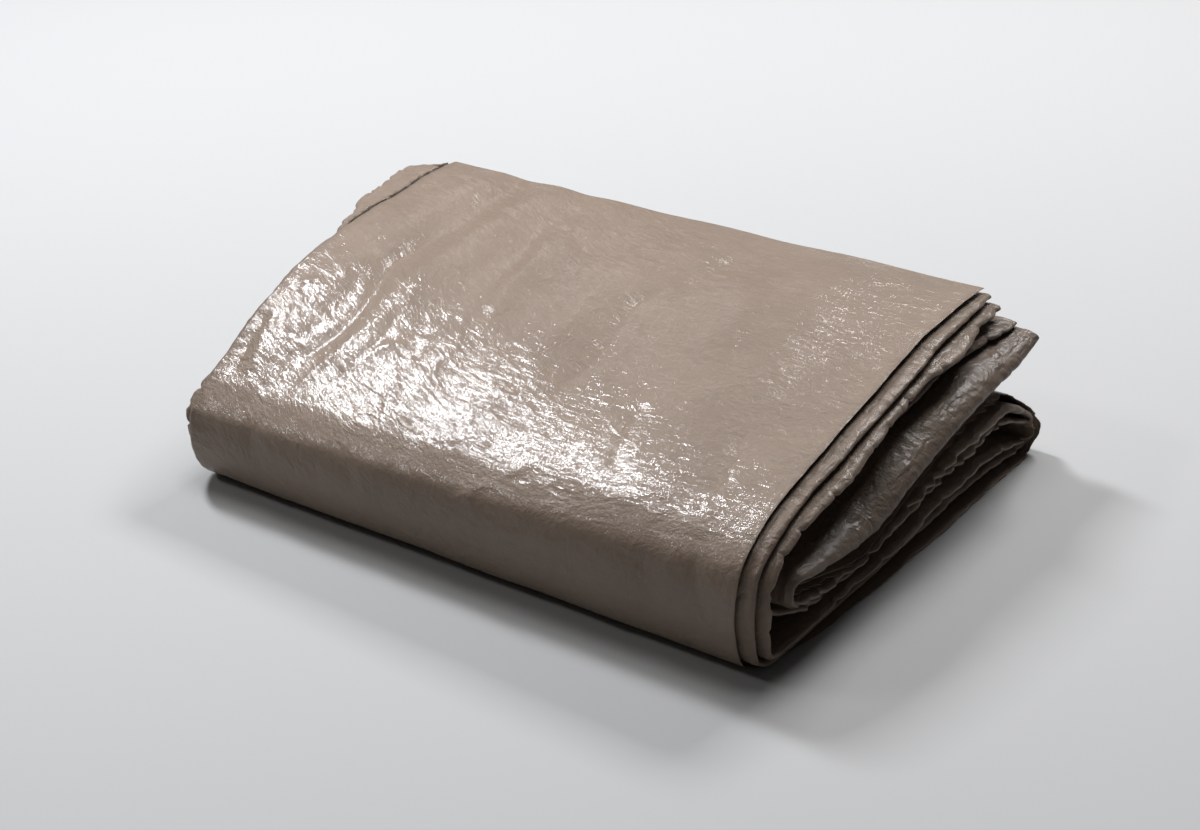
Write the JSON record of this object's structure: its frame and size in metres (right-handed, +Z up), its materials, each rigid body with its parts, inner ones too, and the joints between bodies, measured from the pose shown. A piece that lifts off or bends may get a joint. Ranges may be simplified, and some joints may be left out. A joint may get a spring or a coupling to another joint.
{
  "type": "folded ground sheet",
  "caption": "Ground sheet of coated woven cloth, folded back and forth and then over into a flat, uneven pack with stepped fold edges.",
  "frame": {"origin": "centre of the bounding box's bottom, on the surface the pack rests on", "axes": "+X along the long folds, towards the end whose fold edges step back upwards; +Y from the rounded front fold towards the open back; +Z up"},
  "size_m": [0.61, 0.4308, 0.1468],
  "materials": {
    "sheet_cloth": "glossy coated weave, creased"
  },
  "bodies": {
    "root": {"ground_sheet": "sheet_cloth"}
  },
  "joints": []
}
